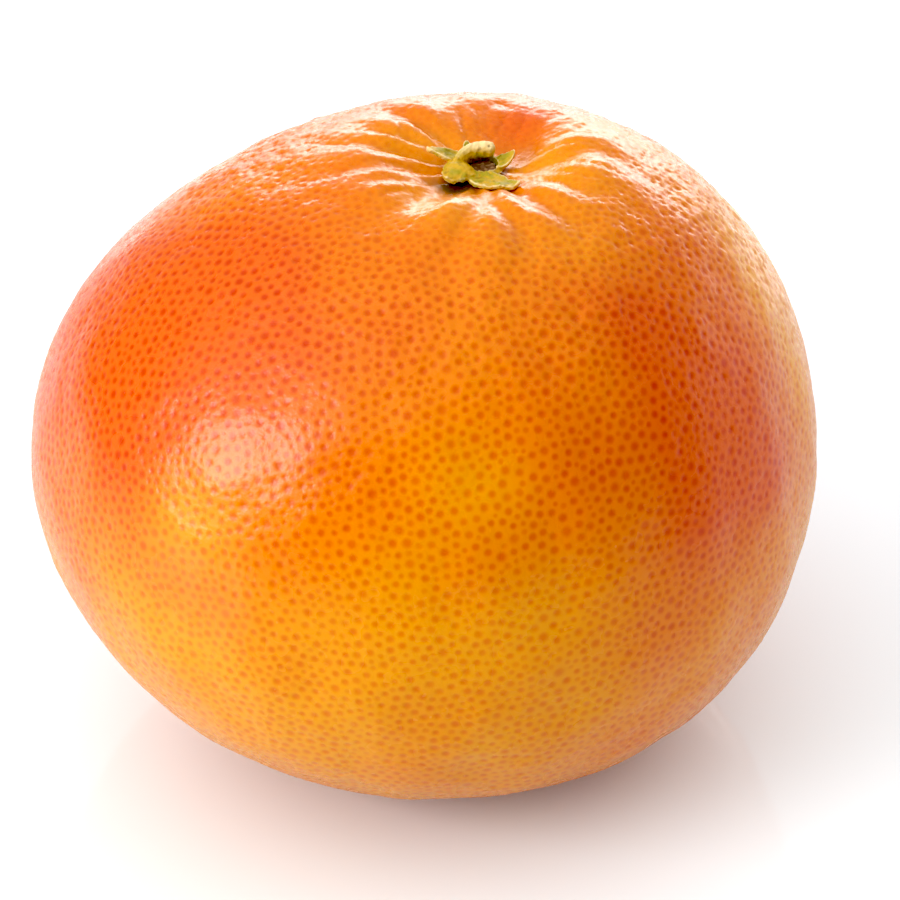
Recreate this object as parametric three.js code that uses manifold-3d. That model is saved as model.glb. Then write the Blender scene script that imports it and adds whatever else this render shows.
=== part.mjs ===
// Grapefruit, as picked: it rests on its blossom end, with its dry calyx in the hollow of the stem end.
// Millimetres, +Z up, the table at z = 0. The side that faces -Y is the front.
import * as THREE from "three";
import { mergeVertices } from "three/addons/utils/BufferGeometryUtils.js";
import Module from "manifold-3d";

// The fruit, measured from the middle of its waist, where it is widest.
const WAIST_RADIUS = 54;
const CROWN_HEIGHT = 49.8;
const BASE_HEIGHT = 43.4;
// A roundness of 2 makes an ellipse and more fills the shoulders out.
const CROWN_ROUNDNESS = 2.03;
const BASE_ROUNDNESS = 2.33;
// Parts of the radius by which the waist is oval, and by which one side of the crown and of the base
// is fuller, with the azimuths of those sides in degrees.
const WAIST_OVAL = 0.01;
const CROWN_SWELL = 0.057;
const CROWN_SWELL_AZIMUTH = -73;
const BASE_SWELL = 0.027;
const BASE_SWELL_AZIMUTH = 6;
// A swell is fullest about halfway between the waist and the pole, where this factor makes it whole.
const SWELL_POWER = 1.6;
const SWELL_FACTOR = 3.5;
// The crown leans, so the stem end is this far to the right of the middle.
const STEM_RIGHT = 7.5;
const LEAN_POWER = 2.8;
// The hollow of the stem end, with a flat seat for the calyx.
const HOLLOW_DEPTH = 6.2;
const HOLLOW_RADIUS = 11;
const HOLLOW_STEEPNESS = 2.6;
// The weight of the fruit presses this much of the blossom end flat.
const PRESSED_FLAT = 0.45;

// The furrows between the folds around the stem: azimuth and half width in degrees, depth, and how
// far from the stem each is deepest.
const FURROWS = [
  { azimuth: 30, width: 16, depth: 0.7, reach: 15 },
  { azimuth: 60, width: 26, depth: 1.5, reach: 11 },
  { azimuth: 98, width: 10, depth: 0.5, reach: 11 },
  { azimuth: 128, width: 7, depth: 0.9, reach: 11 },
  { azimuth: 148, width: 5, depth: 0.4, reach: 13 },
  { azimuth: 167, width: 6, depth: 0.85, reach: 12 },
  { azimuth: 192, width: 6.5, depth: 0.9, reach: 12 },
  { azimuth: 213, width: 5.5, depth: 0.6, reach: 11 },
  { azimuth: 238, width: 14, depth: 1.6, reach: 14 },
  { azimuth: 268, width: 6, depth: 1.1, reach: 16 },
  { azimuth: 284, width: 5, depth: 1, reach: 15 },
  { azimuth: 303, width: 8, depth: 1.2, reach: 14 },
  { azimuth: 327, width: 8, depth: 0.9, reach: 14 },
  { azimuth: 355, width: 8, depth: 0.9, reach: 14 },
];
// The furrows begin at the edge of the calyx's seat and are whole a little way out.
const SEAT_EDGE = 2.5;
const FURROWS_WHOLE = 6;
// A furrow winds by this many degrees to each side on its way outwards, and this is the length on
// which the winding turns by one radian.
const FURROW_WINDING = 4;
const FURROW_WINDING_LENGTH = 3.5;

// How finely the peel is modelled: columns around the stem, and rows that are close by the folds.
const COLUMNS = 84;
const FOLD_ROWS = 24;
const FOLD_ROWS_REACH = 26;
const BODY_ROWS = 34;

// Touching pieces keep this gap. A sepal, whose facets are flat, keeps a little more.
const GAP = 0.3;
const SEPAL_CLEARANCE = 0.35;

// The calyx: x to the right, y to the back and z up from the middle of its seat.
const BUTTON_RADIUS = 3.5;
const BUTTON_BOTTOM = 0.55;
const BUTTON_RIM = 1.6;
const BUTTON_SIDES = 28;
const CRATER_RADIUS = 2.1;
// The stalk tore off to the right of the button's middle, so the crater lies that far to the right.
const CRATER_RIGHT = 0.5;
const SEPAL_THICKNESS = 0.8;
const SEPAL_EDGE_THICKNESS = 0.6;
// How wide a sepal is at its root and its tip, as parts of its widest, and how far along it is widest.
const SEPAL_ROOT = 0.72;
const SEPAL_TIP = 0.06;
const SEPAL_WIDEST_AT = 0.4;
// The powers that draw a long point and a round end.
const SEPAL_POINTED = 1.6;
const SEPAL_ROUND = 5.6;
// Each sepal runs from the button to its tip. Its cup is how far its edges stand up from its middle,
// or hang down where it is negative, and its bluntness is 0 for a long point and 1 for a round end.
const SEPALS = [
  { spine: [[-1.8, 0.7, 1.4], [-3.4, 1, 1.75], [-5.3, 1.2, 2.4], [-7, 1, 3.2]],
    width: 2.7, cup: 0.3, bluntness: 0.2 },
  { spine: [[-1.2, -0.8, 1.4], [-2.4, -1.9, 2.25], [-3.5, -3, 1.95], [-4.4, -3.9, 1]],
    width: 4.8, cup: -0.75, bluntness: 0.85 },
  { spine: [[-0.6, -2.7, 1.1], [1.1, -4.4, 1.2], [3.1, -6, 1.5], [5.4, -7.5, 2.1]],
    width: 4.1, cup: 0.25, bluntness: 0.55 },
  { spine: [[1.8, 0, 1], [2.8, 0.3, 1.15], [3.9, 0.8, 1.7], [4.8, 1.4, 2.5]],
    width: 3, cup: 0.35, bluntness: 0.1 },
  { spine: [[-0.7, 1.3, 1], [-1.1, 2, 1.6], [-1.5, 2.7, 2.2], [-1.8, 3.3, 2.9]],
    width: 2.4, cup: 0.2, bluntness: 0.2 },
];
// The torn lip that rises over the back of the crater to a free, blunt end: points on its line, and
// its radius at each.
const LIP_SPINE = [
  [-3.2, -1, 1.6], [-2.4, 0.2, 2.2], [-1.2, 1.1, 2.6], [0.3, 1.4, 2.8], [1.3, 1.25, 2.9], [1.85, 1.15, 2.9],
  [2.1, 1.1, 2.9],
];
const LIP_RADII = [0.8, 1.05, 1.2, 1.25, 1.2, 1, 0.6];
// The lip's thickness, as a part of its height.
const LIP_THINNESS = 0.75;
// How finely the sepals and the lip are modelled.
const SEPAL_ROWS = 11;
const SEPAL_COLUMNS = 8;
const LIP_ROWS = 16;
const LIP_SIDES = 10;

// The woody end of the stalk, in the crater.
const SCAR_RADIUS = CRATER_RADIUS - GAP;
const SCAR_TOP = 0.95;
const SCAR_DIP = 0.2;
const SCAR_CORE_RADIUS = 0.5;
const SCAR_CORE_TOP = 1.05;
const SCAR_SIDES = 20;

const wasm = await Module();
wasm.setup();

// A bell with a height of 1 in the middle, that has sunk to 1/e at this distance from it.
function bell(distance, width) {
  return Math.exp(-((distance / width) ** 2));
}

// The depth of all the furrows at this place, in the crown's own plan around the stem.
function furrowDepth(azimuth, distance) {
  const begun = THREE.MathUtils.smoothstep(distance, SEAT_EDGE, FURROWS_WHOLE);
  let depth = 0;
  for (const furrow of FURROWS) {
    const winding = FURROW_WINDING * Math.sin(distance / FURROW_WINDING_LENGTH + furrow.azimuth);
    const turn = THREE.MathUtils.euclideanModulo(azimuth - furrow.azimuth - winding + 180, 360) - 180;
    const along = (distance / furrow.reach) ** 2;
    depth += furrow.depth * bell(turn, furrow.width) * along * Math.exp(1 - along);
  }
  return depth * begun;
}

// How much fuller the peel is here than a round fruit's, on the side that this azimuth faces.
function swell(amount, side, azimuth, out, up) {
  const facing = Math.cos(azimuth - THREE.MathUtils.degToRad(side));
  return amount * facing * SWELL_FACTOR * out * out * up ** SWELL_POWER;
}

// The distance of the peel from the waist's middle, at this angle from the stem axis and azimuth.
function peelRadius(fromStem, azimuth) {
  const out = Math.sin(fromStem);
  const up = Math.max(0, Math.cos(fromStem));
  const down = Math.max(0, -Math.cos(fromStem));
  const height = (CROWN_HEIGHT * (1 + up - down) + BASE_HEIGHT * (1 - up + down)) / 2;
  const roundness = 2 + (CROWN_ROUNDNESS - 2) * up + (BASE_ROUNDNESS - 2) * down;
  const ellipse = (out / WAIST_RADIUS) ** roundness + ((up + down) / height) ** roundness;
  const fullness = 1 + WAIST_OVAL * out * out * Math.cos(2 * azimuth)
    + swell(CROWN_SWELL, CROWN_SWELL_AZIMUTH, azimuth, out, up)
    + swell(BASE_SWELL, BASE_SWELL_AZIMUTH, azimuth, out, down);
  return ellipse ** (-1 / roundness) * fullness;
}

// The point of the peel at this angle from the stem axis and azimuth, from the waist's middle.
function peelPoint(fromStem, azimuth) {
  const radius = peelRadius(fromStem, azimuth);
  const distance = radius * Math.sin(fromStem);
  const height = radius * Math.cos(fromStem);
  const point = new THREE.Vector3(distance * Math.cos(azimuth), distance * Math.sin(azimuth), height);
  if (height <= 0) {
    return point;
  }
  point.x += STEM_RIGHT * (height / CROWN_HEIGHT) ** LEAN_POWER;
  point.z -= HOLLOW_DEPTH * Math.exp(-((distance / HOLLOW_RADIUS) ** HOLLOW_STEEPNESS));
  point.z -= furrowDepth(THREE.MathUtils.radToDeg(azimuth), distance);
  return point;
}

// The angles from the stem axis at which the peel has a ring of points.
function ringAngles() {
  const foldsEnd = FOLD_ROWS_REACH / WAIST_RADIUS;
  const angles = [];
  for (let row = 1; row <= FOLD_ROWS; row++) {
    angles.push((foldsEnd * row) / FOLD_ROWS);
  }
  for (let row = 1; row < BODY_ROWS; row++) {
    angles.push(foldsEnd + ((Math.PI - foldsEnd) * row) / BODY_ROWS);
  }
  return angles;
}

// A closed mesh of rings of points between a first and a last point. Each ring runs anticlockwise
// for an eye that looks from the first point to the last.
function ringedGeometry(first, rings, last) {
  const count = rings[0].length;
  const points = [first, ...rings.flat(), last];
  const triangles = [];
  for (let i = 0; i < count; i++) {
    const next = (i + 1) % count;
    triangles.push(0, 1 + i, 1 + next);
    for (let ring = 1; ring < rings.length; ring++) {
      const above = 1 + (ring - 1) * count;
      const below = above + count;
      triangles.push(above + i, below + i, below + next);
      triangles.push(above + i, below + next, above + next);
    }
    const end = 1 + (rings.length - 1) * count;
    triangles.push(end + i, points.length - 1, end + next);
  }
  const geometry = new THREE.BufferGeometry().setFromPoints(points);
  geometry.setIndex(triangles);
  return geometry;
}

// The whole fruit, lowered until the blossom end is pressed flat on the table.
function fruitGeometry() {
  const azimuths = Array.from({ length: COLUMNS }, (_, column) => (2 * Math.PI * column) / COLUMNS);
  const rings = ringAngles().map((fromStem) => azimuths.map((azimuth) => peelPoint(fromStem, azimuth)));
  const top = peelPoint(0, 0);
  const bottom = peelPoint(Math.PI, 0);
  const lowest = Math.min(bottom.z, ...rings.flat().map((point) => point.z));
  for (const point of [top, ...rings.flat(), bottom]) {
    point.z = Math.max(0, point.z - lowest - PRESSED_FLAT);
  }
  return ringedGeometry(top, rings, bottom);
}

// A named mesh with its own finish.
function piece(name, geometry, color, roughness) {
  geometry.computeVertexNormals();
  const mesh = new THREE.Mesh(geometry, new THREE.MeshStandardMaterial({ color, roughness, metalness: 0 }));
  mesh.name = name;
  return mesh;
}

const fruit = piece("fruit", fruitGeometry(), "#f7941f", 0.35);
// The fruit's first point is the bottom of the hollow, the middle of the calyx's seat.
const seat = new THREE.Vector3().fromBufferAttribute(fruit.geometry.attributes.position, 0);
const DOWN = new THREE.Vector3(0, 0, -1);

// The height of the peel above the calyx's seat, at this place from the middle of the seat.
function peelRise(x, y) {
  const above = new THREE.Vector3(seat.x + x, seat.y + y, seat.z + HOLLOW_DEPTH);
  const ray = new THREE.Raycaster(above, DOWN);
  return ray.intersectObject(fruit)[0].point.z - seat.z;
}

// A geometry as a closed solid that manifold-3d can join.
function solid(geometry) {
  const plain = geometry.clone();
  plain.deleteAttribute("normal");
  plain.deleteAttribute("uv");
  const merged = mergeVertices(plain);
  const mesh = new wasm.Mesh({
    numProp: 3,
    vertProperties: new Float32Array(merged.attributes.position.array),
    triVerts: new Uint32Array(merged.index.array),
  });
  return new wasm.Manifold(mesh);
}

// A joined solid as a geometry again.
function geometryOf(manifold) {
  const mesh = manifold.getMesh();
  const geometry = new THREE.BufferGeometry();
  geometry.setAttribute("position", new THREE.BufferAttribute(mesh.vertProperties, 3));
  geometry.setIndex(new THREE.BufferAttribute(mesh.triVerts, 1));
  return geometry;
}

// A shape turned about the z axis, from the outline [distance from the axis, height] of its section.
function turned(outline, sides) {
  const points = outline.map(([distance, height]) => new THREE.Vector2(distance, height));
  return new THREE.LatheGeometry(points, sides).rotateX(Math.PI / 2);
}

// The button: a low round disc.
function buttonGeometry() {
  const waist = (BUTTON_BOTTOM + BUTTON_RIM) / 2;
  return turned([
    [0, BUTTON_BOTTOM],
    [0.85 * BUTTON_RADIUS, BUTTON_BOTTOM],
    [BUTTON_RADIUS, waist],
    [0.75 * BUTTON_RADIUS, BUTTON_RIM],
    [0, BUTTON_RIM],
  ], BUTTON_SIDES);
}

// What the stalk took with it: the crater through the button, up to just over its rim.
function craterGeometry() {
  const over = BUTTON_RIM + GAP;
  const outline = [[0, 0], [CRATER_RADIUS, 0], [CRATER_RADIUS, over], [0, over]];
  return turned(outline, BUTTON_SIDES).translate(CRATER_RIGHT, 0, 0);
}

// The width of a sepal this far along it, from 0 at its root to 1 at its tip, as a part of its widest.
function sepalTaper(along, bluntness) {
  const swelling = Math.sin((Math.PI / 2) * Math.min(2, along / SEPAL_WIDEST_AT));
  const narrowing = Math.sqrt(1 - along ** THREE.MathUtils.lerp(SEPAL_POINTED, SEPAL_ROUND, bluntness));
  return Math.max(SEPAL_TIP, (SEPAL_ROOT + (1 - SEPAL_ROOT) * swelling) * narrowing);
}

// The ring of points round a sepal at this place along it, over the top and back underneath.
function sepalRing(curve, along, { width, cup, bluntness }) {
  const middle = curve.getPoint(along);
  const ahead = curve.getTangent(along);
  const across = new THREE.Vector3(ahead.y, -ahead.x, 0).normalize();
  const taper = sepalTaper(along, bluntness);
  const top = [];
  const bottom = [];
  for (let column = 0; column <= SEPAL_COLUMNS; column++) {
    const side = 1 - (2 * column) / SEPAL_COLUMNS;
    const thickness = THREE.MathUtils.lerp(SEPAL_THICKNESS, SEPAL_EDGE_THICKNESS, side * side);
    const point = middle.clone().addScaledVector(across, (side * taper * width) / 2);
    point.z += cup * taper * side * side - thickness / 2;
    point.z = Math.max(point.z, peelRise(point.x, point.y) + SEPAL_CLEARANCE);
    bottom.unshift(point);
    top.push(new THREE.Vector3(point.x, point.y, point.z + thickness));
  }
  return [...top, ...bottom];
}

// The middle of a ring of points.
function middleOf(ring) {
  return ring.reduce((sum, point) => sum.add(point), new THREE.Vector3()).divideScalar(ring.length);
}

// A sepal: an arched blade that stays clear of the peel.
function sepalGeometry(sepal) {
  const curve = new THREE.CatmullRomCurve3(sepal.spine.map((point) => new THREE.Vector3(...point)));
  const rows = Array.from({ length: SEPAL_ROWS + 1 }, (_, row) => row / SEPAL_ROWS);
  const rings = rows.map((along) => sepalRing(curve, along, sepal));
  return ringedGeometry(middleOf(rings[0]), rings, middleOf(rings[SEPAL_ROWS]));
}

// The lip: a round ridge that thins towards its ends.
function lipGeometry() {
  const curve = new THREE.CatmullRomCurve3(LIP_SPINE.map((point) => new THREE.Vector3(...point)));
  const radii = new THREE.SplineCurve(LIP_RADII.map((radius, i) => new THREE.Vector2(i, radius)));
  const rings = [];
  for (let row = 0; row <= LIP_ROWS; row++) {
    const along = row / LIP_ROWS;
    const middle = curve.getPoint(along);
    const ahead = curve.getTangent(along);
    const across = new THREE.Vector3(ahead.y, -ahead.x, 0).normalize();
    const upright = new THREE.Vector3().crossVectors(across, ahead);
    const radius = radii.getPoint(along).y;
    rings.push(Array.from({ length: LIP_SIDES }, (_, side) => {
      const turn = (2 * Math.PI * side) / LIP_SIDES;
      return middle.clone()
        .addScaledVector(across, LIP_THINNESS * radius * Math.cos(turn))
        .addScaledVector(upright, radius * Math.sin(turn));
    }));
  }
  return ringedGeometry(curve.getPoint(0), rings, curve.getPoint(1));
}

// The calyx: the button, its sepals and the lip, grown as one piece around the crater.
function calyxGeometry() {
  const button = solid(buttonGeometry()).add(solid(lipGeometry()));
  const joined = SEPALS.reduce((grown, sepal) => grown.add(solid(sepalGeometry(sepal))), button);
  return geometryOf(joined.subtract(solid(craterGeometry())));
}

// The scar: a woody plug in the crater, dished round a small core.
function scarGeometry() {
  return turned([
    [0, BUTTON_BOTTOM],
    [SCAR_RADIUS, BUTTON_BOTTOM],
    [SCAR_RADIUS, SCAR_TOP - SCAR_DIP / 2],
    [0.85 * SCAR_RADIUS, SCAR_TOP],
    [SCAR_CORE_RADIUS, SCAR_TOP - SCAR_DIP],
    [0.7 * SCAR_CORE_RADIUS, SCAR_CORE_TOP],
    [0, SCAR_CORE_TOP],
  ], SCAR_SIDES).translate(CRATER_RIGHT, 0, 0);
}

const calyx = piece("calyx", calyxGeometry(), "#b9ac35", 0.65);
const stemScar = piece("stem_scar", scarGeometry(), "#5d4424", 0.8);
calyx.position.copy(seat);
stemScar.position.copy(seat);

const grapefruit = new THREE.Group();
grapefruit.add(fruit, calyx, stemScar);

export default grapefruit;
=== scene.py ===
"""A grapefruit, as picked, resting on its blossom end on a pale glossy table.

Its peel is laid out gland by gland, and the dry calyx and the end of the stalk sit in the hollow of
its stem end. Lengths are in millimetres, and each mesh is turned into metres when it is made.
"""
import math

import bmesh
import bpy
import numpy as np
from mathutils import Matrix, Vector


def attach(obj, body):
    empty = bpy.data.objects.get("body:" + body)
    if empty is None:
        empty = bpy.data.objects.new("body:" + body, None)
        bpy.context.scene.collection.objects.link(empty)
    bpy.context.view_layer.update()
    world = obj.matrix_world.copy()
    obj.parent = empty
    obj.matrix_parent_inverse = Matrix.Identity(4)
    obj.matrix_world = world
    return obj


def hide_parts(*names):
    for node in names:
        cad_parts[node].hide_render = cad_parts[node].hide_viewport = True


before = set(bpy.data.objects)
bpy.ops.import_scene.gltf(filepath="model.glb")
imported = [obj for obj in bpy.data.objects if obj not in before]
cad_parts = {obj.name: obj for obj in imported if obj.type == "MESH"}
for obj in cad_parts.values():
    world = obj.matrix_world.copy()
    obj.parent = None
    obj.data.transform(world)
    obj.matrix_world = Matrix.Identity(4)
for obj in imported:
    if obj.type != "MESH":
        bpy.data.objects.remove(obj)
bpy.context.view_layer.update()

# The fruit.
# It grew as one body: a waxy orange peel, widest at the waist, that sinks into a hollow with radial
# folds around the stem. Its own weight presses the blossom end flat where it rests.
MM = 0.001
WAIST_RADIUS = 54
CROWN_HEIGHT = 49.8
BASE_HEIGHT = 43.4
PRESSED_FLAT = 0.45
WAIST_Z = BASE_HEIGHT - PRESSED_FLAT
# A roundness of 2 makes an ellipse and more fills the shoulders out.
CROWN_ROUNDNESS = 2.03
BASE_ROUNDNESS = 2.33
# How oval the waist is, and how much fuller one side of the crown and of the base is, as parts of
# the radius, with the azimuths of those sides in degrees. The power makes a swell fade towards the
# waist, and the factor makes it whole midway to the pole.
WAIST_OVAL = 0.01
CROWN_SWELL = 0.057
CROWN_SWELL_AZIMUTH = -73
BASE_SWELL = 0.027
BASE_SWELL_AZIMUTH = 6
SWELL_POWER = 1.6
SWELL_FACTOR = 3.5
# The crown leans, so that the stem end is to the right of the middle.
STEM_RIGHT = 7.5
LEAN_POWER = 2.8
# The hollow around the stem. More steepness makes its floor flatter and its side steeper.
HOLLOW_DEPTH = 6.2
HOLLOW_RADIUS = 11
HOLLOW_STEEPNESS = 2.6
# The furrows between the folds: azimuth and half width in degrees, depth, and how far from the stem
# each is deepest. They start at the edge of the calyx's seat and wind a few degrees on the way out.
FURROWS = (
    (30, 16, 0.7, 15), (60, 26, 1.5, 11), (98, 10, 0.5, 11), (128, 7, 0.9, 11), (148, 5, 0.4, 13),
    (167, 6, 0.85, 12), (192, 6.5, 0.9, 12), (213, 5.5, 0.6, 11), (238, 14, 1.6, 14), (268, 6, 1.1, 16),
    (284, 5, 1, 15), (303, 8, 1.2, 14), (327, 8, 0.9, 14), (355, 8, 0.9, 14),
)
SEAT_EDGE = 2.5
FURROWS_WHOLE = 6
FURROW_WINDING = 4
FURROW_WINDING_LENGTH = 3.5


def smooth_step(value, low, high):
    """0 below low, 1 above high and an even S between them."""
    part = np.clip((value - low) / (high - low), 0, 1)
    return part * part * (3 - 2 * part)


def furrow_depth(azimuth, distance):
    """The depth of all the furrows at this azimuth in degrees and distance from the stem."""
    depth = np.zeros_like(distance)
    for side, width, deepest, reach in FURROWS:
        winding = FURROW_WINDING * np.sin(distance / FURROW_WINDING_LENGTH + side)
        turn = (azimuth - side - winding + 180) % 360 - 180
        along = (distance / reach) ** 2
        depth += deepest * np.exp(-(turn / width) ** 2) * along * np.exp(1 - along)
    return depth * smooth_step(distance, SEAT_EDGE, FURROWS_WHOLE)


def swell(amount, side, azimuth, out, up):
    """How much fuller the peel is here than a round fruit's, on the side that this azimuth faces."""
    return amount * np.cos(azimuth - math.radians(side)) * SWELL_FACTOR * out**2 * up**SWELL_POWER


def peel_points(ways):
    """The points of the smooth peel in these directions from the middle of the waist."""
    azimuth = np.arctan2(ways[:, 1], ways[:, 0])
    out = np.hypot(ways[:, 0], ways[:, 1])
    up = np.maximum(0, ways[:, 2])
    down = np.maximum(0, -ways[:, 2])
    height = (CROWN_HEIGHT * (1 + up - down) + BASE_HEIGHT * (1 - up + down)) / 2
    roundness = 2 + (CROWN_ROUNDNESS - 2) * up + (BASE_ROUNDNESS - 2) * down
    ellipse = (out / WAIST_RADIUS) ** roundness + ((up + down) / height) ** roundness
    fullness = 1 + WAIST_OVAL * out**2 * np.cos(2 * azimuth)
    fullness += swell(CROWN_SWELL, CROWN_SWELL_AZIMUTH, azimuth, out, up)
    fullness += swell(BASE_SWELL, BASE_SWELL_AZIMUTH, azimuth, out, down)
    radius = ellipse ** (-1 / roundness) * fullness
    points = ways * radius[:, None]
    distance = radius * out
    crown = np.maximum(0, points[:, 2])
    hollow = HOLLOW_DEPTH * np.exp(-(distance / HOLLOW_RADIUS) ** HOLLOW_STEEPNESS)
    points[:, 0] += STEM_RIGHT * (crown / CROWN_HEIGHT) ** LEAN_POWER
    points[:, 2] -= (crown > 0) * (hollow + furrow_depth(np.degrees(azimuth), distance))
    points[:, 2] += WAIST_Z
    return points


# The oil glands, which dot the peel. Large ones lie this far apart, small ones fill the spaces
# between them, and all are smaller and closer together towards the stem.
GLANDS = 16000
GLAND_SPACING = 1.8
SMALL_GLANDS = 0.28
SMALL_GLAND_SIZE = 0.68
GLAND_SIZE_SPREAD = 0.12
STEM_GLAND_SIZE = 0.72
STEM_GLANDS_END = 42
# They start on a spiral, tossed by a part of their spacing, and then push each other apart.
GOLDEN_ANGLE = math.pi * (3 - math.sqrt(5))
GLAND_TOSS = 0.25
SETTLING_ROUNDS = 4
SETTLING_STEPS = 7
SETTLING_PUSH = 0.25

draw = np.random.default_rng(seed=11)


def net_between(ways):
    """The triangles, facing outwards, of the net that joins neighbouring directions."""
    net = bmesh.new()
    corners = [net.verts.new(way) for way in ways]
    net.verts.index_update()
    bmesh.ops.convex_hull(net, input=corners)
    triangles = np.array([[corner.index for corner in face.verts] for face in net.faces])
    net.free()
    a, b, c = (ways[triangles[:, corner]] for corner in range(3))
    inward = (np.cross(b - a, c - a) * a).sum(1) < 0
    triangles[inward] = triangles[inward][:, ::-1]
    return triangles


def sides_of(triangles):
    """Each side once, as its two ends in order, and for each triangle which sides it has."""
    ends = np.concatenate([triangles[:, [0, 1]], triangles[:, [1, 2]], triangles[:, [2, 0]]])
    sides, which = np.unique(np.sort(ends, axis=1), axis=0, return_inverse=True)
    return sides, which.reshape(3, -1).T


def towards_one(ways):
    """These vectors at a length of 1."""
    return ways / np.linalg.norm(ways, axis=1, keepdims=True)


def stem_scale(from_stem):
    """The size of the glands at this angle from the stem, as a part of their size elsewhere."""
    away = smooth_step(np.degrees(from_stem), 0, STEM_GLANDS_END)
    return STEM_GLAND_SIZE + (1 - STEM_GLAND_SIZE) * away


def spiral(count):
    """Directions on an even spiral from the stem end to the blossom end, closer towards the stem."""
    polar = np.linspace(0, math.pi, count)
    share = np.cumsum(np.sin(polar) / stem_scale(polar) ** 2)
    from_stem = np.interp((np.arange(count) + 0.5) / count, share / share[-1], polar)
    azimuth = GOLDEN_ANGLE * np.arange(count)
    out = np.sin(from_stem)
    return np.stack([out * np.cos(azimuth), out * np.sin(azimuth), np.cos(from_stem)], axis=1)


def settled(ways, sizes):
    """Directions of glands of these sizes after they have pushed each other apart."""
    for _ in range(SETTLING_ROUNDS):
        sides, _ = sides_of(net_between(ways))
        one, other = sides.T
        rest = GLAND_SPACING * (sizes[one] + sizes[other]) / 2
        for _ in range(SETTLING_STEPS):
            points = peel_points(ways)
            apart = points[other] - points[one]
            lack = np.maximum(0, rest / np.linalg.norm(apart, axis=1) - 1)
            push = SETTLING_PUSH * lack[:, None] * apart / WAIST_RADIUS
            move = np.zeros_like(ways)
            np.add.at(move, other, push)
            np.subtract.at(move, one, push)
            ways = towards_one(ways + move)
    return ways


gland_ways = spiral(GLANDS)
gland_sizes = draw.normal(1, GLAND_SIZE_SPREAD, GLANDS)
gland_sizes[draw.random(GLANDS) < SMALL_GLANDS] *= SMALL_GLAND_SIZE
gland_sizes *= stem_scale(np.arccos(gland_ways[:, 2]))
gland_toss = draw.normal(0, GLAND_TOSS * GLAND_SPACING / WAIST_RADIUS, (GLANDS, 3))
gland_ways = settled(towards_one(gland_ways + gland_toss), gland_sizes)

# The peel between glands stands up in a fine net: its points are halfway between neighbouring
# glands, nearer to a small one, and in the middle of every three. A gland too close to others to be
# in the net is left out.
netted, net = np.unique(net_between(gland_ways), return_inverse=True)
net = net.reshape(-1, 3)
gland_ways = gland_ways[netted]
gland_sizes = gland_sizes[netted]
glands = len(netted)
sides, net_sides = sides_of(net)
nearness = 1 / gland_sizes
halfway = gland_ways[sides] * nearness[sides][:, :, None]
middle = gland_ways[net] * nearness[net][:, :, None]
ways = np.concatenate([gland_ways, towards_one(halfway.sum(1)), towards_one(middle.sum(1))])
side_point = glands + net_sides
middle_point = glands + len(sides) + np.arange(len(net))
facets = []
facet_glands = []
for corner in range(3):
    following = (corner + 1) % 3
    facets.append(np.stack([net[:, corner], side_point[:, corner], middle_point], axis=1))
    facets.append(np.stack([side_point[:, corner], net[:, following], middle_point], axis=1))
    facet_glands += [net[:, corner], net[:, following]]
facets = np.concatenate(facets)
facet_glands = np.concatenate(facet_glands)


def outward(points, triangles):
    """The direction in which the surface faces at each point."""
    a, b, c = (points[triangles[:, corner]] for corner in range(3))
    across = np.cross(b - a, c - a)
    facing = np.zeros_like(points)
    for corner in range(3):
        np.add.at(facing, triangles[:, corner], across)
    return towards_one(facing)


# Random unevenness is a sum of this many waves, each in a direction of its own.
WAVES = 24


def waves(points, length, seed):
    """A smooth random field with a spread of 1, that rises and falls over this length."""
    toss = np.random.default_rng(seed)
    bearings = towards_one(toss.normal(size=(WAVES, points.shape[1]))) * 2 * math.pi / length
    starts = toss.uniform(0, 2 * math.pi, WAVES)
    return np.sin(points @ bearings.T + starts).sum(1) / math.sqrt(WAVES / 2)


def uneven(points, kinds, seed):
    """The sum of several kinds of waves, each kind with its length and height."""
    total = np.zeros(len(points))
    for kind, (length, height) in enumerate(kinds):
        total += height * waves(points, length, seed + kind)
    return total


# The relief. No two glands' pits are equally deep: they are shallow around the stem and deep on the
# shoulder, which lies between these distances from the stem, and the net between them rises a bit.
PIT_DEPTH = 0.13
PIT_VARIETY = (0.3, 1.4)
STEM_PITS = 0.45
STEM_PITS_END = 22
SIDE_PITS = 0.68
SHOULDER_PITS = 1.5
SHOULDER_INSIDE = (11, 27)
SHOULDER_OUTSIDE = (33, 48)
NET_RISE = 0.03
# Slow unevenness of the whole peel, more on the shoulder, and wrinkles near the stem: the length
# over which each kind rises and falls, and its height.
UNEVENNESS = ((14, 0.1), (7, 0.035), (4, 0.015))
SHOULDER_UNEVENNESS = ((7, 0.04), (3.6, 0.04), (2.2, 0.035))
WRINKLES = ((3.2, 0.03), (1.7, 0.013))
WRINKLES_END = (17, 25)
# Fine creases run out from the stem between the folds, deepest at this distance from it.
CREASE_DEPTH = 0.32
CREASE_WIDTH = 3.6
CREASE_LENGTH_FACTOR = 0.22
CREASES_MIDDLE = 12
CREASES_SPREAD = 8

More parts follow.
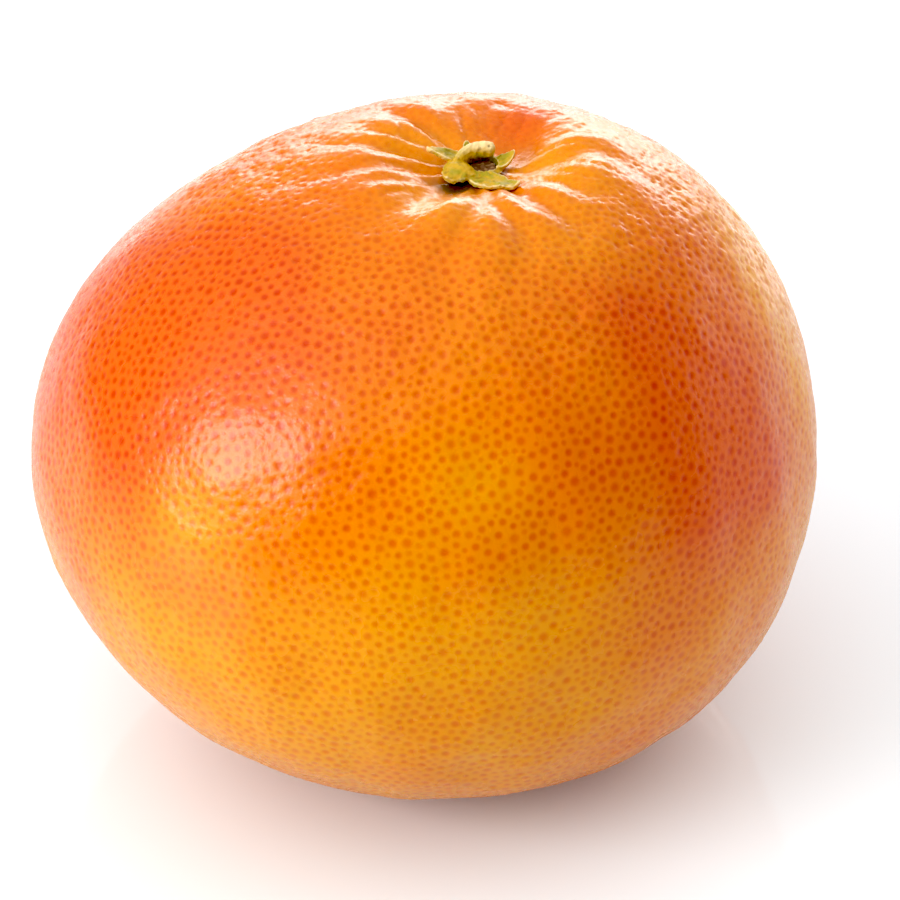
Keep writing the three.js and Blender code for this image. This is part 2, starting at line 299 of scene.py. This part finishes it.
smooth_points = peel_points(ways)
facing = outward(smooth_points, facets)
on_crown = ways[:, 2] > 0
stem_plan = smooth_points[:, :2] - (STEM_RIGHT, 0)
stem_distance = np.where(on_crown, np.linalg.norm(stem_plan, axis=1), WAIST_RADIUS)
round_stem = np.arctan2(stem_plan[:, 1], stem_plan[:, 0])
crease_plan = np.stack([
    CREASES_MIDDLE * np.cos(round_stem),
    CREASES_MIDDLE * np.sin(round_stem),
    CREASE_LENGTH_FACTOR * stem_distance,
], axis=1)
creases = np.abs(waves(crease_plan, CREASE_WIDTH, seed=5))
creasing = np.exp(-((stem_distance - CREASES_MIDDLE) / CREASES_SPREAD) ** 2)
shoulder = smooth_step(stem_distance, *SHOULDER_INSIDE)
near_stem = 1 - smooth_step(stem_distance, *SHOULDER_OUTSIDE)
wrinkled = 1 - smooth_step(stem_distance, *WRINKLES_END)
relief = uneven(smooth_points, UNEVENNESS, seed=0)
relief += shoulder * near_stem * uneven(smooth_points, SHOULDER_UNEVENNESS, seed=50)
relief += wrinkled * uneven(smooth_points, WRINKLES, seed=60)
relief *= smooth_step(stem_distance, SEAT_EDGE, FURROWS_WHOLE)
relief -= CREASE_DEPTH * creasing * np.clip(1 - creases, 0, 1)
pits = STEM_PITS + (1 - STEM_PITS) * smooth_step(stem_distance, CREASES_MIDDLE, STEM_PITS_END)
pits += (SIDE_PITS - 1) * (1 - near_stem) + (SHOULDER_PITS - 1) * shoulder * near_stem
pits = pits[:glands] * gland_sizes * draw.uniform(*PIT_VARIETY, glands)
relief[:glands] -= PIT_DEPTH * pits
relief[glands:] += NET_RISE * draw.uniform(0, 1, len(ways) - glands)
points = smooth_points + facing * relief[:, None]
points[:, 2] = np.maximum(0, points[:, 2])

# The blush, where the sun reddened the peel: the direction of each patch's middle, its radius in
# degrees and how red it is. A negative one is a patch that stayed golden. The ground's redness
# wavers a little over this length, and drift makes the patches' edges wander.
BLUSHES = (
    ((-0.72, -0.26, 0.65), 27, 0.95), ((-0.3, -0.62, 0.72), 17, 0.45), ((-0.86, -0.42, 0.3), 20, 0.4),
    ((0.63, -0.57, 0.52), 16, 0.7), ((0.73, -0.62, 0.3), 15, 0.55), ((0.88, -0.4, 0.25), 16, 0.35),
    ((0.36, -0.62, 0.7), 14, 0.15), ((0.3, 0.24, 0.92), 7, 0.5), ((0.05, 0.78, 0.6), 30, 0.75),
    ((0.17, 0, 0.98), 20, -0.15), ((0.03, -0.96, 0.27), 14, -0.12), ((-0.3, -0.85, 0.42), 12, 0.15),
    ((0.62, -0.25, 0.74), 10, 0.25), ((-0.8, 0.5, 0.3), 24, 0.35), ((0.75, 0.62, 0.1), 26, 0.5),
    ((-0.2, 0.9, -0.2), 18, 0.35), ((-0.57, 0.01, 0.82), 14, -0.3), ((0.95, -0.25, -0.05), 20, -0.35),
    ((0.85, -0.05, 0.52), 17, -0.5), ((0.1, -0.9, -0.2), 30, -0.25), ((-0.6, -0.75, -0.2), 30, -0.35),
)
BLUSH_GROUND = 0.34
BLUSH_WAVER = 0.05
BLUSH_WAVER_LENGTH = 16
BLUSH_DRIFT = 0.055
BLUSH_DRIFT_LENGTH = 22

blush = BLUSH_GROUND + BLUSH_WAVER * waves(smooth_points, BLUSH_WAVER_LENGTH, seed=8)
drift = np.stack([waves(smooth_points, BLUSH_DRIFT_LENGTH, seed) for seed in (80, 81, 82)], axis=1)
bearing = towards_one(towards_one(smooth_points - (0, 0, WAIST_Z)) + BLUSH_DRIFT * drift)
for middle_way, radius, redness in BLUSHES:
    middle_way = np.array(middle_way) / np.linalg.norm(middle_way)
    angle = np.degrees(np.arccos(np.clip(bearing @ middle_way, -1, 1)))
    blush += redness * np.exp(-(angle / radius) ** 2)

# The blossom end's scar is a small brown spot, and around the calyx's base the peel is partly russet
# and partly painted shade: each is whole up to its first distance and gone from its second on. A
# painted shadow, with its place from the stem and its spread, lies under and in front of the front
# sepal.
BLOSSOM_SCAR = (1.44, 2.4)
STEM_RUSSET_AND_SHADE = (2.38, 4.42)
SEPAL_SHADE = (-2.9, -5)
SEPAL_SHADE_SPREAD = (3, 2.1)
SEPAL_SHADE_FACTOR = 1.6

from_blossom = np.where(on_crown, WAIST_RADIUS, np.linalg.norm(smooth_points[:, :2], axis=1))
from_sepal = (stem_plan - SEPAL_SHADE) / SEPAL_SHADE_SPREAD
stain = 1 - smooth_step(from_blossom, *BLOSSOM_SCAR)
# Russet, and painted shade under the calyx, around the calyx's base.
stain += 1 - smooth_step(stem_distance, *STEM_RUSSET_AND_SHADE)
# A painted shadow under the front sepal.
stain += SEPAL_SHADE_FACTOR * on_crown * np.exp(-(from_sepal**2).sum(1))

# Each gland shows as a darker dot. A small gland's is smaller and fainter, and those around the stem
# are fainter too.
DOT_RADIUS = 0.34 * GLAND_SPACING
DOT_RADIUS_POWER = 0.7
DOT_RADIUS_VARIETY = (0.85, 1.1)
DOT_DEPTH_VARIETY = (0.7, 1)
FAINT_BELOW_SIZE = 0.8
FAINT_DOT = 0.7
STEM_DOTS = 0.35
STEM_DOTS_END = 34

dot_radii = DOT_RADIUS * gland_sizes**DOT_RADIUS_POWER * draw.uniform(*DOT_RADIUS_VARIETY, glands)
dot_depths = draw.uniform(*DOT_DEPTH_VARIETY, glands)
dot_depths *= np.where(gland_sizes < FAINT_BELOW_SIZE, FAINT_DOT, 1)
off_stem = smooth_step(stem_distance[:glands], CREASES_MIDDLE, STEM_DOTS_END)
dot_depths *= STEM_DOTS + (1 - STEM_DOTS) * off_stem


def mesh_piece(name, points, faces):
    """A named object, smooth in its shading, from points in millimetres."""
    mesh = bpy.data.meshes.new(name)
    mesh.from_pydata((points * MM).tolist(), [], faces.tolist())
    mesh.shade_smooth()
    piece = bpy.data.objects.new(name, mesh)
    bpy.context.collection.objects.link(piece)
    return piece


def note(piece, name, values, domain="POINT"):
    """Keeps a number or a vector for each point or face of a piece, for its material to read."""
    kind, field = ("FLOAT", "value") if values.ndim == 1 else ("FLOAT_VECTOR", "vector")
    attribute = piece.data.attributes.new(name, kind, domain)
    attribute.data.foreach_set(field, values.astype(np.float32).ravel())


fruit = mesh_piece("fruit_peel", points, facets)
note(fruit, "gland", points[facet_glands] * MM, "FACE")
note(fruit, "dot_radius", dot_radii[facet_glands] * MM, "FACE")
note(fruit, "dot_depth", dot_depths[facet_glands], "FACE")
note(fruit, "pit", pits[facet_glands], "FACE")
note(fruit, "blush", blush)
# The blossom scar, and the russet and painted shade around the calyx.
note(fruit, "stain", stain)
note(fruit, "crown", near_stem)


class Wire:
    """A socket in a material's nodes. Sums, products and powers of wires add Math nodes."""

    def __init__(self, tree, socket=None):
        self.tree = tree
        self.socket = socket

    def node(self, kind, settings, sockets, output=0):
        """Adds a node with these settings, and these values or wires in its sockets."""
        node = self.tree.nodes.new(kind)
        for setting, value in settings.items():
            if setting == "stops":
                set_stops(node.color_ramp, value)
            else:
                setattr(node, setting, value)
        for name, value in sockets.items():
            if isinstance(value, Wire):
                self.tree.links.new(value.socket, node.inputs[name])
            else:
                node.inputs[name].default_value = value
        return Wire(self.tree, node.outputs[output] if node.outputs else None)

    def math(self, operation, *values):
        """One Math node on these values or wires."""
        return self.node("ShaderNodeMath", {"operation": operation}, dict(enumerate(values)))

    def __add__(self, other):
        return self.math("ADD", self, other)

    __radd__ = __add__

    def __sub__(self, other):
        return self.math("SUBTRACT", self, other)

    def __rsub__(self, other):
        return self.math("SUBTRACT", other, self)

    def __mul__(self, other):
        return self.math("MULTIPLY", self, other)

    __rmul__ = __mul__

    def __truediv__(self, other):
        return self.math("DIVIDE", self, other)

    def __pow__(self, other):
        return self.math("POWER", self, other)

    def step(self, low, high):
        """0 below low, 1 above high and an even S between them."""
        span = {"Value": self, "From Min": low, "From Max": high}
        return self.node("ShaderNodeMapRange", {"interpolation_type": "SMOOTHSTEP"}, span)

    def blend(self, colour, other_colour):
        """The first colour where this is 0 and the second where it is 1."""
        mixed = {0: self, 6: colour, 7: other_colour}
        return self.node("ShaderNodeMix", {"data_type": "RGBA"}, mixed, 2)

    def ramp(self, stops):
        """The colour at this place between the stops."""
        return self.node("ShaderNodeValToRGB", {"stops": stops}, {0: self})

    def noted(self, name, output="Fac"):
        """What was noted under this name on the piece."""
        return self.node("ShaderNodeAttribute", {"attribute_name": name}, {}, output)

    def place(self):
        """Where on the piece this is, in metres."""
        return self.node("ShaderNodeTexCoord", {}, {}, "Object")

    def noise(self, length):
        """Cloudy noise from 0 to 1 over this length in millimetres."""
        spread = {"Vector": self.place(), "Scale": 1 / (length * MM), "Detail": 2}
        return self.node("ShaderNodeTexNoise", {}, spread)

    def waver(self, amount, length):
        """Cloudy noise that goes up and down by half of this amount."""
        return amount * (self.noise(length) - 0.5)

    def bump(self, height):
        """A surface that stands up by this height in millimetres."""
        return self.node("ShaderNodeBump", {}, {"Height": height, "Distance": MM})

    def surface(self, **sockets):
        """The finish itself, ready in its material."""
        sockets = {name.replace("_", " "): value for name, value in sockets.items()}
        shader = self.node("ShaderNodeBsdfPrincipled", {}, sockets)
        self.node("ShaderNodeOutputMaterial", {}, {"Surface": shader})


def set_stops(ramp, stops):
    """Gives a colour ramp these places and colours."""
    while len(ramp.elements) < len(stops):
        ramp.elements.new(0.5)
    for element, (place, colour) in zip(ramp.elements, stops):
        element.position = place
        element.color = colour


def paint(code):
    """A colour from the six digits of its screen colour."""
    parts = [int(code[i:i + 2], 16) / 255 for i in (0, 2, 4)]
    return [part / 12.92 if part <= 0.04045 else ((part + 0.055) / 1.055) ** 2.4 for part in parts] + [1]


def new_finish(name):
    """A new material and the wire to build it with."""
    material = bpy.data.materials.new(name)
    material.use_nodes = True
    material.node_tree.nodes.clear()
    return material, Wire(material.node_tree)


# The peel's colours, from golden to red, on the net and in the dots of the glands. Orange is at this
# place between them. The redness is mottled, by an amount over a length for each kind of mottle.
GOLDEN, ORANGE, RED = paint("d78e12"), paint("d37612"), paint("cc5a15")
GOLDEN_DOT, ORANGE_DOT, RED_DOT = paint("cb6c08"), paint("c05406"), paint("b63702")
ORANGE_PLACE = 0.4
LARGE_MOTTLE = (0.16, 9)
SMALL_MOTTLE = (0.1, 2.2)
# The brown of the blossom scar and the russet, which also paints the shade under the calyx and its front
# sepal.
SCAR_AND_SHADE_BROWN = paint("563c1a")
SCAR_AND_SHADE_STRENGTH = 0.9
# Between which parts of its radius a dot fades out and its pit comes up to the net.
DOT_FADES = (0.3, 1.35)
PIT_RISES = (0, 1.4)
# How high the wax stands around a pit, how high its slow swellings are and over what length, and the
# same for its fine grain, which is coarser on the crown.
PIT_BUMP = 0.055
SWELLING = 0.1
SWELLING_LENGTH = 3.2
GRAIN_BUMP = 0.05
CROWN_GRAIN_BUMP = 0.025
GRAIN_LENGTH = 0.8


def peel_finish():
    """A waxy rind, golden with a mottled blush, and with a darker dot and a pit at each gland."""
    material, wire = new_finish("peel")
    redness = wire.noted("blush") + wire.waver(*LARGE_MOTTLE) + wire.waver(*SMALL_MOTTLE)
    ground = redness.ramp([(0, GOLDEN), (ORANGE_PLACE, ORANGE), (1, RED)])
    dots = redness.ramp([(0, GOLDEN_DOT), (ORANGE_PLACE, ORANGE_DOT), (1, RED_DOT)])
    ends = {0: wire.place(), 1: wire.noted("gland", "Vector")}
    from_gland = wire.node("ShaderNodeVectorMath", {"operation": "DISTANCE"}, ends, "Value")
    reach = from_gland / wire.noted("dot_radius")
    dot = 1 - reach.step(*DOT_FADES)
    colour = (dot * wire.noted("dot_depth")).blend(ground, dots)
    # Brown at the scar and russet, and painted shade under the calyx and in front of its front sepal.
    colour = (SCAR_AND_SHADE_STRENGTH * wire.noted("stain")).blend(colour, SCAR_AND_SHADE_BROWN)
    height = PIT_BUMP * wire.noted("pit") * reach.step(*PIT_RISES)
    height = height + SWELLING * wire.noise(SWELLING_LENGTH)
    grain_bump = GRAIN_BUMP + CROWN_GRAIN_BUMP * wire.noted("crown")
    height = height + grain_bump * wire.noise(GRAIN_LENGTH)
    wire.surface(
        Base_Color=colour,
        Roughness=0.24 + 0.06 * wire.noise(3),
        IOR=1.41,
        Specular_IOR_Level=0.5,
        Subsurface_Weight=0.1,
        Subsurface_Radius=(1.0, 0.35, 0.1),
        Subsurface_Scale=0.8 * MM,
        Normal=wire.bump(height),
    )
    return material


fruit.data.materials.append(peel_finish())
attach(fruit, "root")
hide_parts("fruit")

# The calyx.
# The dry green button that held the fruit, with five leathery sepals and a torn lip that curls over
# the place of the stalk. It grew on the peel, in the bottom of the hollow.
CALYX_VOXEL = 0.11
CALYX_ROUNDING = 5
EDGE_ROUNDING = 12
CALYX_LOWERED = 0.22
seat = np.array([STEM_RIGHT, 0, peel_points(np.array([[0.0, 0.0, 1.0]]))[0, 2]])


def even_mesh(node, voxel):
    """The points, in millimetres from the calyx's seat, and faces of a fine even net on a CAD solid."""
    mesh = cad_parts[node].data.copy()
    mesh.transform(Matrix.Scale(1 / MM, 4))
    solid = bpy.data.objects.new(node + "_solid", mesh)
    bpy.context.collection.objects.link(solid)
    weld = solid.modifiers.new("weld", "WELD")
    weld.merge_threshold = 0.001
    remesh = solid.modifiers.new("even", "REMESH")
    remesh.voxel_size = voxel
    even = solid.evaluated_get(bpy.context.evaluated_depsgraph_get()).to_mesh()
    points = np.array([vertex.co for vertex in even.vertices])
    faces = np.array([face.vertices for face in even.polygons])
    bpy.data.objects.remove(solid)
    return points - seat, faces


def neighbours_of(faces):
    """Pairs of neighbouring points, each pair once."""
    ends = np.concatenate([faces[:, [0, 1]], faces[:, [1, 2]], faces[:, [2, 3]], faces[:, [3, 0]]])
    return np.unique(np.sort(ends, axis=1), axis=0)


def rounded(points, pairs, times):
    """These points after each has moved halfway to the middle of its neighbours, this many times."""
    one, other = pairs.T
    counts = np.bincount(pairs.ravel(), minlength=len(points))[:, None]
    for _ in range(times):
        total = np.zeros_like(points)
        np.add.at(total, one, points[other])
        np.add.at(total, other, points[one])
        points = (points + total / counts) / 2
    return points


def quads_outward(points, faces):
    """The direction in which a net of four-sided faces faces at each point."""
    return outward(points, np.concatenate([faces[:, [0, 1, 2]], faces[:, [0, 2, 3]]]))


calyx_points, calyx_faces = even_mesh("calyx", CALYX_VOXEL)
calyx_pairs = neighbours_of(calyx_faces)
calyx_points = rounded(calyx_points, calyx_pairs, CALYX_ROUNDING)
calyx_facing = quads_outward(calyx_points, calyx_faces)
edges = ((calyx_points - rounded(calyx_points, calyx_pairs, EDGE_ROUNDING)) * calyx_facing).sum(1)

# Veins run outwards along the sepals and end at the foot of the lip, between these heights. Their
# plan is wider around the calyx than along it, which draws them out. A grain covers all of it, by
# length and height, and the end of the lip has a small round pore.
VEIN_RISE = 0.03
VEIN_WIDTH = 0.75
VEINS_AROUND = 4.2
VEINS_ALONG = 0.35
LIP_FOOT = (1.8, 3)
LEAF_GRAIN = ((0.9, 0.03), (0.45, 0.018))
PORE = (1.36, 0.7, 3.8)
PORE_RADIUS = 0.24
PORE_DEPTH = 0.16

calyx_out = np.linalg.norm(calyx_points[:, :2], axis=1)
calyx_turn = np.arctan2(calyx_points[:, 1], calyx_points[:, 0])
vein_plan = np.stack([
    VEINS_AROUND * np.cos(calyx_turn),
    VEINS_AROUND * np.sin(calyx_turn),
    VEINS_ALONG * calyx_out,
], axis=1)
veins = waves(vein_plan, VEIN_WIDTH, seed=21) * (1 - smooth_step(calyx_points[:, 2], *LIP_FOOT))
pore = np.exp(-(np.linalg.norm(calyx_points - PORE, axis=1) / PORE_RADIUS) ** 2)
calyx_relief = VEIN_RISE * veins + uneven(calyx_points, LEAF_GRAIN, seed=22) - PORE_DEPTH * pore
calyx_points = calyx_points + calyx_facing * calyx_relief[:, None]
calyx = mesh_piece("calyx_green", calyx_points + seat - (0, 0, CALYX_LOWERED), calyx_faces)
note(calyx, "edge", edges)
note(calyx, "vein", veins)
note(calyx, "pore", pore)
note(calyx, "height", calyx_points[:, 2])

LEAF, LEAF_GREEN = paint("be9628"), paint("9a8a22")
# The pale colour is the dry rims' own and also paints a highlight on the rims and top.
LEAF_PALE_AND_HIGHLIGHT, LEAF_BROWN = paint("ecd8a6"), paint("4a3610")
# Over which part of its noise or measure each colour comes in, over what length its noise goes, and
# how strong the colour gets. Rims and top also waver, by an amount over a length. The pale rims are
# partly a painted highlight, and the pale top is a painted highlight.
GREEN_SHOWS = (0.4, 0.65)
GREEN_LENGTH = 2.2
VEIN_GREEN = 0.06
RIM_SHOWS = (0.01, 0.07)
RIM_WAVER = (0.03, 0.6)
RIM_STRENGTH = 0.85
TOP_HIGHLIGHT_SHOWS = (2.7, 4)
TOP_HIGHLIGHT_WAVER = (0.6, 0.9)
TOP_HIGHLIGHT_STRENGTH = 0.7
BROWN_SHOWS = (0.54, 0.74)
BROWN_LENGTH = 0.9
BROWN_STRENGTH = 0.4
PORE_SHOWS = (0.25, 0.8)
PORE_STRENGTH = 0.55


def calyx_finish():
    """A dry leaf, tan with green clouds and brown spots, with painted highlights on its pale rims and
    top.
    """
    material, wire = new_finish("calyx")
    green = (wire.noise(GREEN_LENGTH) + VEIN_GREEN * wire.noted("vein")).step(*GREEN_SHOWS)
    pale_rim_and_highlight = (wire.noted("edge") + wire.waver(*RIM_WAVER)).step(*RIM_SHOWS)
    top_highlight = (wire.noted("height") + wire.waver(*TOP_HIGHLIGHT_WAVER)).step(*TOP_HIGHLIGHT_SHOWS)
    brown = BROWN_STRENGTH * wire.noise(BROWN_LENGTH).step(*BROWN_SHOWS)
    pore_brown = PORE_STRENGTH * wire.noted("pore").step(*PORE_SHOWS)
    colour = green.blend(LEAF, LEAF_GREEN)
    # Pale rims, partly dry margin and partly a painted highlight, and a painted highlight on top.
    colour = (RIM_STRENGTH * pale_rim_and_highlight + TOP_HIGHLIGHT_STRENGTH * (1 - pale_rim_and_highlight) * top_highlight).blend(colour, LEAF_PALE_AND_HIGHLIGHT)
    colour = brown.blend(colour, LEAF_BROWN)
    colour = pore_brown.blend(colour, LEAF_BROWN)
    wire.surface(
        Base_Color=colour,
        Roughness=0.5 + 0.2 * wire.noise(0.8),
        Specular_IOR_Level=0.4,
        Subsurface_Weight=0.1,
        Subsurface_Radius=(0.7, 0.8, 0.2),
        Subsurface_Scale=0.5 * MM,
        Normal=wire.bump(0.03 * wire.noise(0.25)),
    )
    return material


calyx.data.materials.append(calyx_finish())
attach(calyx, "root")
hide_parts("calyx")

# The stem scar.
# The end of the stalk, a plug of brown wood fibre that stayed in the middle of the calyx when the
# fruit came off.
SCAR_VOXEL = 0.09
SCAR_ROUNDING = 3
FIBRE_WIDTH = 0.7
FIBRE_DRAWN_OUT = (1, 1, 0.3)
FIBRE_RISE = 0.04

scar_points, scar_faces = even_mesh("stem_scar", SCAR_VOXEL)
scar_points = rounded(scar_points, neighbours_of(scar_faces), SCAR_ROUNDING)
fibres = waves(scar_points * FIBRE_DRAWN_OUT, FIBRE_WIDTH, seed=31)
scar_facing = quads_outward(scar_points, scar_faces)
scar_points = scar_points + scar_facing * (FIBRE_RISE * fibres)[:, None]
scar = mesh_piece("stem_scar_wood", scar_points + seat - (0, 0, CALYX_LOWERED), scar_faces)
note(scar, "fibre", fibres)

WOOD_DARK, WOOD_PALE = paint("765438"), paint("9c7a52")
FIBRE_PALENESS = 0.4
PALE_LENGTH = 1.2
PALE_SHOWS = (0.6, 1.2)


def scar_finish():
    """Rough brown wood, paler along its fibres."""
    material, wire = new_finish("scar")
    pale = (FIBRE_PALENESS * wire.noted("fibre") + wire.noise(PALE_LENGTH)).step(*PALE_SHOWS)
    wire.surface(
        Base_Color=pale.blend(WOOD_DARK, WOOD_PALE),
        Roughness=0.75 + 0.15 * wire.noise(0.5),
        Normal=wire.bump(0.04 * wire.noise(0.2)),
    )
    return material


scar.data.materials.append(scar_finish())
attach(scar, "root")
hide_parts("stem_scar")

# The table.
# A pale board with a glossy coat, larger than what any view shows of it. The fruit stands on it, and
# its gloss mirrors the fruit faintly.
TABLE_HALF = 6000
BOARD, BOARD_PALE = paint("e8edf0"), paint("ebf0f3")
BOARD_LENGTH = 60
corners = TABLE_HALF * np.array([(-1.0, -1, 0), (1, -1, 0), (1, 1, 0), (-1, 1, 0)])
table = mesh_piece("table", corners, np.array([[0, 1, 2, 3]]))


def table_finish():
    """A glossy coat, a little uneven in its colour and gloss."""
    material, wire = new_finish("table")
    wire.surface(
        Base_Color=wire.noise(BOARD_LENGTH).blend(BOARD, BOARD_PALE),
        Roughness=0.04 + 0.03 * wire.noise(40),
    )
    return material


table.data.materials.append(table_finish())

# The light.
# A round softbox low on the left and a broad oval panel low behind the table, both facing the middle
# of the fruit, and pale light from the whole room.
MIDDLE = Vector((3.64, 0, 41.58)) * MM


def softbox(name, azimuth, elevation, distance, width, height, brightness):
    """A soft oval lamp in this direction from the fruit, facing it, with its lengths in metres."""
    lamp = bpy.data.lights.new(name, "AREA")
    lamp.shape = "ELLIPSE"
    lamp.size = width
    lamp.size_y = height
    area = width * height * math.pi / 4
    lamp.energy = brightness * math.pi * area
    light = bpy.data.objects.new(name, lamp)
    azimuth = math.radians(azimuth)
    elevation = math.radians(elevation)
    out = math.cos(elevation)
    way = Vector((math.cos(azimuth) * out, math.sin(azimuth) * out, math.sin(elevation)))
    light.location = MIDDLE + distance * way
    light.rotation_euler = way.to_track_quat("Z", "Y").to_euler()
    bpy.context.collection.objects.link(light)


softbox("lamp", azimuth=-153, elevation=20, distance=0.9, width=0.5, height=0.5, brightness=9)
softbox("panel", azimuth=83, elevation=12, distance=1.2, width=1.25, height=0.42, brightness=5)

# The room: how bright it is in all directions, and how much brighter towards its white walls and
# ceiling, with how narrow each is. A white backdrop stands low at the back and right.
ROOM = 0.32
WALLS = (
    ((-0.77, -0.28, 0.57), 1.6, 5), ((0.8, -0.35, 0.48), 0.5, 2), ((0.1, 0.86, 0.5), 0.4, 3),
    ((0, 0, 1), 0.85, 2),
)
BACKDROP = 1.3
BACKDROP_LOWNESS = 8
BACKDROP_WAY = (0.64, 0.77, 0)
BACKDROP_EDGE = (0.42, 0.8)
world = bpy.data.worlds.new("studio")
world.use_nodes = True
world.node_tree.nodes.clear()
room = Wire(world.node_tree)
sight = room.node("ShaderNodeTexCoord", {}, {}, "Generated")


def along(way):
    """How far the sight line goes this way, from -1 to 1."""
    return room.node("ShaderNodeVectorMath", {"operation": "DOT_PRODUCT"}, {0: sight, 1: way}, "Value")


backdrop = along(BACKDROP_WAY).step(*BACKDROP_EDGE) * (1 - along((0, 0, 1)) ** 2) ** BACKDROP_LOWNESS
brightness = ROOM + BACKDROP * backdrop
for wall_way, extra, narrowness in WALLS:
    brightness = brightness + extra * room.math("MAXIMUM", along(wall_way), 0) ** narrowness
glow = room.node("ShaderNodeBackground", {}, {"Color": (1, 1, 1, 1), "Strength": brightness})
room.node("ShaderNodeOutputWorld", {}, {"Surface": glow})
bpy.context.scene.world = world

# The darkest part of each colour is drawn down to black, which makes the colours as full as they are
# in daylight.
BLACK_LEVEL = (0.045, 0.045, 0.041)
view = bpy.context.scene.view_settings
view.view_transform = "Standard"
view.use_curve_mapping = True
view.curve_mapping.black_level = BLACK_LEVEL
view.curve_mapping.update()

# The camera.
# It stands in front of the fruit and looks down on its middle, with a long lens that lets the fruit
# fill the picture.
CAMERA_DISTANCE = 0.64
CAMERA_ELEVATION = 34
SENSOR = 36
LENS = 183.62
camera = bpy.data.objects.new("camera", bpy.data.cameras.new("camera"))
camera.data.sensor_width = SENSOR
camera.data.lens = LENS
tilt = math.radians(CAMERA_ELEVATION)
camera.location = MIDDLE + CAMERA_DISTANCE * Vector((0, -math.cos(tilt), math.sin(tilt)))
camera.rotation_euler = (math.pi / 2 - tilt, 0, 0)
bpy.context.collection.objects.link(camera)
bpy.context.scene.camera = camera
